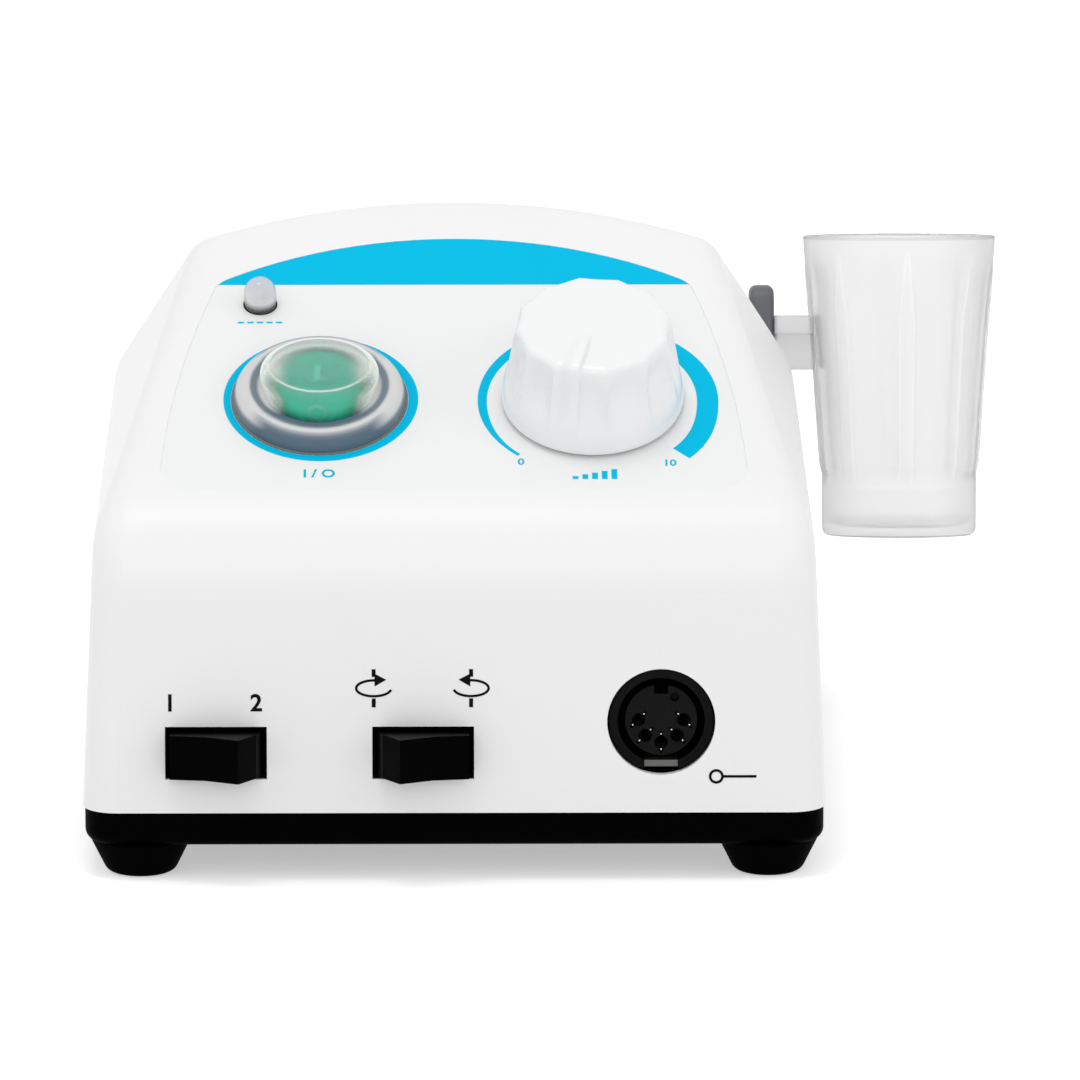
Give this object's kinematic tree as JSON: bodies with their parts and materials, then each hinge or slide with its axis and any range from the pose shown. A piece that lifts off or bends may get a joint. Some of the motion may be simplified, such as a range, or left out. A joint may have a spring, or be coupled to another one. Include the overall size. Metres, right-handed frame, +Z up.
{
  "type": "nail drill machine",
  "caption": "Desktop control box for a nail drill: sloped panel with power rocker, speed knob and lamp, two front rockers, handpiece socket, and a clear cup at the back for the handpiece",
  "frame": {"origin": "on the table, under the middle of the housing", "axes": "X to the right of the user, Y to the back, Z up"},
  "size_m": [0.1469, 0.1648, 0.0918],
  "materials": {
    "white_housing": "satin moulded",
    "white_knob": "gloss moulded",
    "black_tray": "fine texture",
    "black_rubber": "matt",
    "panel_print": "printed sheet",
    "black_plastic": "satin",
    "green_lamp_plastic": "translucent",
    "clear_silicone": "translucent",
    "lamp_lens": "clear moulded",
    "bright_metal": "plated",
    "spindle_metal": "turned",
    "contact_metal": "plated",
    "socket_insert": "moulded",
    "control_metal": "stamped",
    "screw_steel": "zinc plated",
    "green_board": "lacquered",
    "core_steel": "varnished",
    "coil_tape": "taped winding",
    "strap_steel": "bent sheet",
    "capacitor_can": "sleeved",
    "black_epoxy": "moulded",
    "sink_metal": "extruded",
    "fuse_glass": "clear",
    "grey_plastic": "moulded",
    "smoke_cup": "clear moulded"
  },
  "bodies": {
    "housing": {"upper_housing": "white_housing", "base_tray": "black_tray", "front_left_foot": "black_rubber", "front_right_foot": "black_rubber", "rear_left_foot": "black_rubber", "rear_right_foot": "black_rubber", "panel_overlay": "panel_print", "power_switch_body": "black_plastic", "hand_foot_switch_body": "black_plastic", "direction_switch_body": "black_plastic", "motor_socket_shell": "black_plastic", "mains_inlet": "black_plastic", "fuse_holder": "black_plastic", "fuse_holder_nut": "black_plastic", "foot_control_jack": "black_plastic", "lamp_spacer": "black_plastic", "power_boot_skirt": "clear_silicone", "warning_lamp": "lamp_lens", "motor_socket_tab": "bright_metal", "mains_inlet_pins": "bright_metal", "foot_control_nut": "bright_metal", "speed_control_nut": "bright_metal", "speed_control_washer": "bright_metal", "lamp_leads": "bright_metal", "motor_socket_contacts": "contact_metal", "motor_socket_insert": "socket_insert", "speed_control_body": "control_metal", "foot_screws": "screw_steel", "housing_screws": "screw_steel", "board_screws": "screw_steel", "transformer_screws": "screw_steel", "mains_inlet_screws": "screw_steel", "bracket_screws": "screw_steel", "control_board": "green_board", "power_board": "green_board", "transformer_core": "core_steel", "transformer_coil": "coil_tape", "transformer_strap": "strap_steel", "smoothing_capacitor": "capacitor_can", "bridge_rectifier": "black_epoxy", "power_transistor": "black_epoxy", "heat_sink": "sink_metal", "holder_bracket": "grey_plastic"},
    "knob": {"speed_knob": "white_knob", "speed_spindle": "spindle_metal"},
    "power_key": {"power_rocker": "green_lamp_plastic", "power_boot_cap": "clear_silicone"},
    "hand_foot_key": {"hand_foot_rocker": "black_plastic"},
    "direction_key": {"direction_rocker": "black_plastic"},
    "cup": {"handpiece_cup": "smoke_cup"},
    "fuse": {"fuse_cap": "black_plastic", "glass_fuse": "fuse_glass"}
  },
  "joints": [
    {"name": "speed_knob_turn", "type": "hinge", "parent": "housing", "child": "knob", "pos_m": [0.0216, -0.03619, 0.06962], "axis": [0, 0.4509, -0.8926], "range_deg": [0, 300]},
    {"name": "power_rocker_tilt", "type": "hinge", "parent": "housing", "child": "power_key", "pos_m": [-0.0209, -0.03511, 0.06849], "axis": [1, 0, 0], "range_deg": [0, 12]},
    {"name": "hand_foot_rocker_tilt", "type": "hinge", "parent": "housing", "child": "hand_foot_key", "pos_m": [-0.03675, -0.06525, 0.02048], "axis": [0, 0.0262, 0.9997], "range_deg": [0, 36]},
    {"name": "direction_rocker_tilt", "type": "hinge", "parent": "housing", "child": "direction_key", "pos_m": [-0.0048, -0.06525, 0.02048], "axis": [0, 0.0262, 0.9997], "range_deg": [-36, 0]},
    {"name": "handpiece_cup_lift", "type": "slide", "parent": "housing", "child": "cup", "axis": [0, 0.1788, 0.9839], "range_m": [0, 0.03]},
    {"name": "fuse_cap_pull", "type": "slide", "parent": "housing", "child": "fuse", "axis": [0, 0.9994, 0.0349], "range_m": [0, 0.028]}
  ]
}
